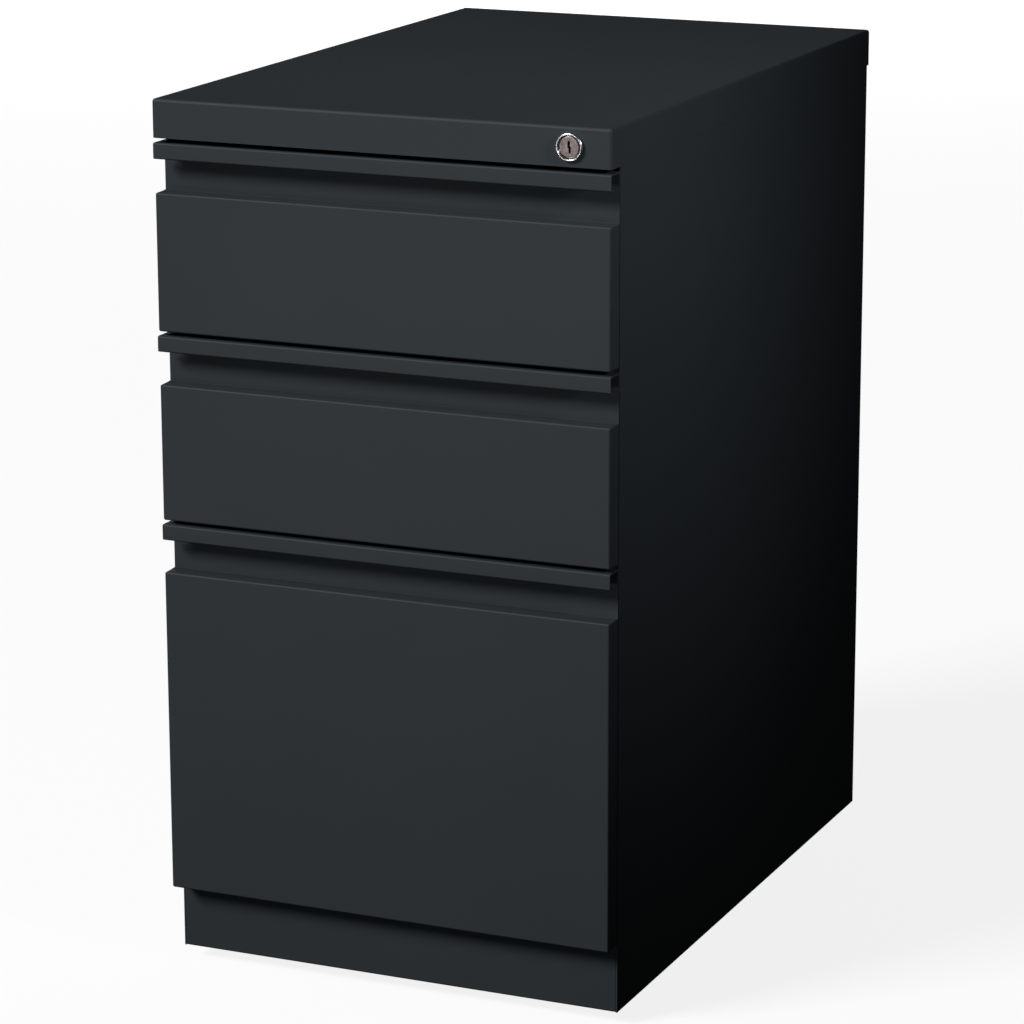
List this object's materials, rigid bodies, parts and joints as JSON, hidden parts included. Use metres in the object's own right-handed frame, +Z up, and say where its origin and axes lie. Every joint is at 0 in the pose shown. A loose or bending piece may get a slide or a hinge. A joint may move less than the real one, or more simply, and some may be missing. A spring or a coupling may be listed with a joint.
{
  "type": "mobile filing cabinet",
  "caption": "Narrow steel pedestal cabinet with box drawers over a deep file drawer, full-width finger pulls, a cylinder lock in the top fascia and casters hidden in the base.",
  "frame": {"origin": "bottom centre of the bounding box, on the floor", "axes": "+X right and -Y towards the front as seen from the front, +Z up"},
  "size_m": [0.381, 0.584, 0.705],
  "materials": {
    "powder_coat": "charcoal powder coat on sheet steel",
    "zinc": "bright zinc-plated steel",
    "chrome": "polished chrome",
    "nickel": "satin nickel",
    "bright_steel": "turned bright steel",
    "mill_steel": "mill-scale steel bar",
    "nylon_black": "moulded black nylon"
  },
  "bodies": {
    "case": {"back_panel": "powder_coat", "base_plinth": "powder_coat", "bottom_pan": "powder_coat", "caster_front_left_plate": "zinc", "caster_front_right_plate": "zinc", "caster_rear_left_plate": "zinc", "caster_rear_right_plate": "zinc", "counterweight": "mill_steel", "drawer_1_outer_rail_left": "zinc", "drawer_1_outer_rail_right": "zinc", "drawer_2_outer_rail_left": "zinc", "drawer_2_outer_rail_right": "zinc", "drawer_3_outer_rail_left": "zinc", "drawer_3_outer_rail_right": "zinc", "front_top_rail": "powder_coat", "left_side_panel": "powder_coat", "lock_housing": "chrome", "lock_nut": "zinc", "right_side_panel": "powder_coat", "top_cap": "powder_coat"},
    "drawer_1": {"drawer_1_back": "powder_coat", "drawer_1_front": "powder_coat", "drawer_1_inner_front": "powder_coat", "drawer_1_inner_rail_left": "zinc", "drawer_1_inner_rail_right": "zinc", "drawer_1_pull": "powder_coat", "drawer_1_tray": "powder_coat"},
    "drawer_2": {"drawer_2_back": "powder_coat", "drawer_2_front": "powder_coat", "drawer_2_inner_front": "powder_coat", "drawer_2_inner_rail_left": "zinc", "drawer_2_inner_rail_right": "zinc", "drawer_2_pull": "powder_coat", "drawer_2_tray": "powder_coat"},
    "drawer_3": {"drawer_3_back": "powder_coat", "drawer_3_front": "powder_coat", "drawer_3_inner_front": "powder_coat", "drawer_3_inner_rail_left": "zinc", "drawer_3_inner_rail_right": "zinc", "drawer_3_pull": "powder_coat", "drawer_3_tray": "powder_coat", "hanging_rail_left": "zinc", "hanging_rail_right": "zinc"},
    "drawer_3_middle": {"drawer_3_middle_rail_left": "zinc", "drawer_3_middle_rail_right": "zinc"},
    "lock_plug": {"lock_plug": "nickel", "lock_cam": "zinc"},
    "lock_bar": {"lock_bar": "zinc"},
    "caster_front_left_fork": {"caster_front_left_fork": "zinc", "caster_front_left_axle": "bright_steel"},
    "caster_front_left_wheel": {"caster_front_left_wheel": "nylon_black"},
    "caster_front_right_fork": {"caster_front_right_fork": "zinc", "caster_front_right_axle": "bright_steel"},
    "caster_front_right_wheel": {"caster_front_right_wheel": "nylon_black"},
    "caster_rear_left_fork": {"caster_rear_left_fork": "zinc", "caster_rear_left_axle": "bright_steel"},
    "caster_rear_left_wheel": {"caster_rear_left_wheel": "nylon_black"},
    "caster_rear_right_fork": {"caster_rear_right_fork": "zinc", "caster_rear_right_axle": "bright_steel"},
    "caster_rear_right_wheel": {"caster_rear_right_wheel": "nylon_black"}
  },
  "joints": [
    {"name": "drawer_1_slide", "type": "slide", "parent": "case", "child": "drawer_1", "axis": [0, -1, 0], "range_m": [0, 0.375]},
    {"name": "drawer_2_slide", "type": "slide", "parent": "case", "child": "drawer_2", "axis": [0, -1, 0], "range_m": [0, 0.375]},
    {"name": "drawer_3_slide", "type": "slide", "parent": "case", "child": "drawer_3", "axis": [0, -1, 0], "range_m": [0, 0.5]},
    {"name": "drawer_3_middle_slide", "type": "slide", "parent": "case", "child": "drawer_3_middle", "axis": [0, -1, 0], "range_m": [0, 0.25]},
    {"name": "lock_turn", "type": "hinge", "parent": "case", "child": "lock_plug", "pos_m": [0.1573, -0.289, 0.6898], "axis": [0, 1, 0], "range_deg": [0, 90]},
    {"name": "lock_bar_slide", "type": "slide", "parent": "case", "child": "lock_bar", "axis": [0, 0, -1], "range_m": [0, 0.0113]},
    {"name": "caster_front_left_swivel", "type": "hinge", "parent": "case", "child": "caster_front_left_fork", "pos_m": [-0.1418, -0.2105, 0.055], "axis": [0, 0, 1], "continuous": true},
    {"name": "caster_front_left_roll", "type": "hinge", "parent": "caster_front_left_fork", "child": "caster_front_left_wheel", "pos_m": [-0.1418, -0.1945, 0.025], "axis": [1, 0, 0], "continuous": true},
    {"name": "caster_front_right_swivel", "type": "hinge", "parent": "case", "child": "caster_front_right_fork", "pos_m": [0.1418, -0.2105, 0.055], "axis": [0, 0, 1], "continuous": true},
    {"name": "caster_front_right_roll", "type": "hinge", "parent": "caster_front_right_fork", "child": "caster_front_right_wheel", "pos_m": [0.1418, -0.1945, 0.025], "axis": [1, 0, 0], "continuous": true},
    {"name": "caster_rear_left_swivel", "type": "hinge", "parent": "case", "child": "caster_rear_left_fork", "pos_m": [-0.1418, 0.23, 0.055], "axis": [0, 0, 1], "continuous": true},
    {"name": "caster_rear_left_roll", "type": "hinge", "parent": "caster_rear_left_fork", "child": "caster_rear_left_wheel", "pos_m": [-0.1418, 0.246, 0.025], "axis": [1, 0, 0], "continuous": true},
    {"name": "caster_rear_right_swivel", "type": "hinge", "parent": "case", "child": "caster_rear_right_fork", "pos_m": [0.1418, 0.23, 0.055], "axis": [0, 0, 1], "continuous": true},
    {"name": "caster_rear_right_roll", "type": "hinge", "parent": "caster_rear_right_fork", "child": "caster_rear_right_wheel", "pos_m": [0.1418, 0.246, 0.025], "axis": [1, 0, 0], "continuous": true}
  ],
  "couplings": [
    {"joint": "drawer_3_middle_slide", "follows": "drawer_3_slide", "ratio": 0.5},
    {"joint": "lock_turn", "follows": "lock_bar_slide", "rad_per_m": 138.84}
  ]
}
